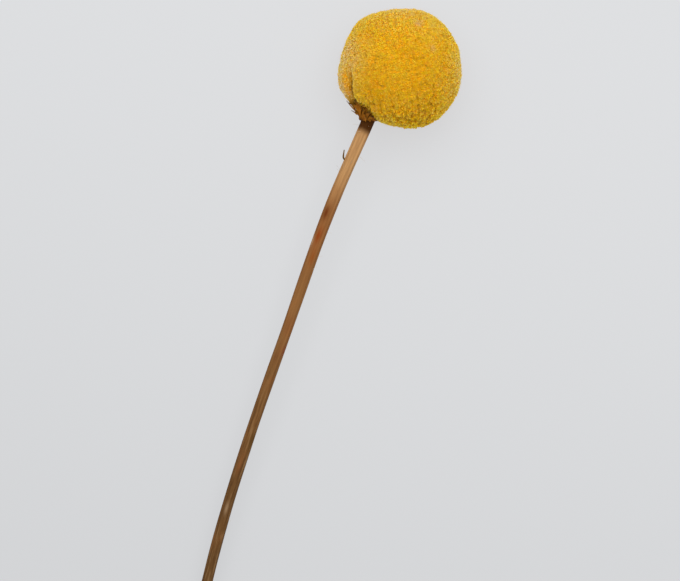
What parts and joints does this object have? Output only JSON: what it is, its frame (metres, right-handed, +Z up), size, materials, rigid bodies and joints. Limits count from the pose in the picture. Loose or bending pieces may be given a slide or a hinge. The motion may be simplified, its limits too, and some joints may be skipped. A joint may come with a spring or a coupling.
{
  "type": "dried billy buttons stem",
  "caption": "Dried billy button: a round yellow head of tightly packed florets over a small brown bract rosette, on a long bare ribbed stem, cut and lying down.",
  "frame": {"origin": "centre of the small flat spot that the flower head rests on, right below the head's centre", "axes": "+Z up from the surface, +Y along the lying stem from its cut end towards the flower head, +X to the right seen from the cut end"},
  "size_m": [0.028, 0.2504, 0.0268],
  "materials": {
    "florets": "matt, granular and dry, like dense pile",
    "dry_bract": "matt, papery and withered",
    "dry_stem": "dull tan bark with a faint sheen, finely striated"
  },
  "bodies": {
    "root": {"flower_head": "florets", "bracts": "dry_bract", "stem": "dry_stem"}
  },
  "joints": []
}
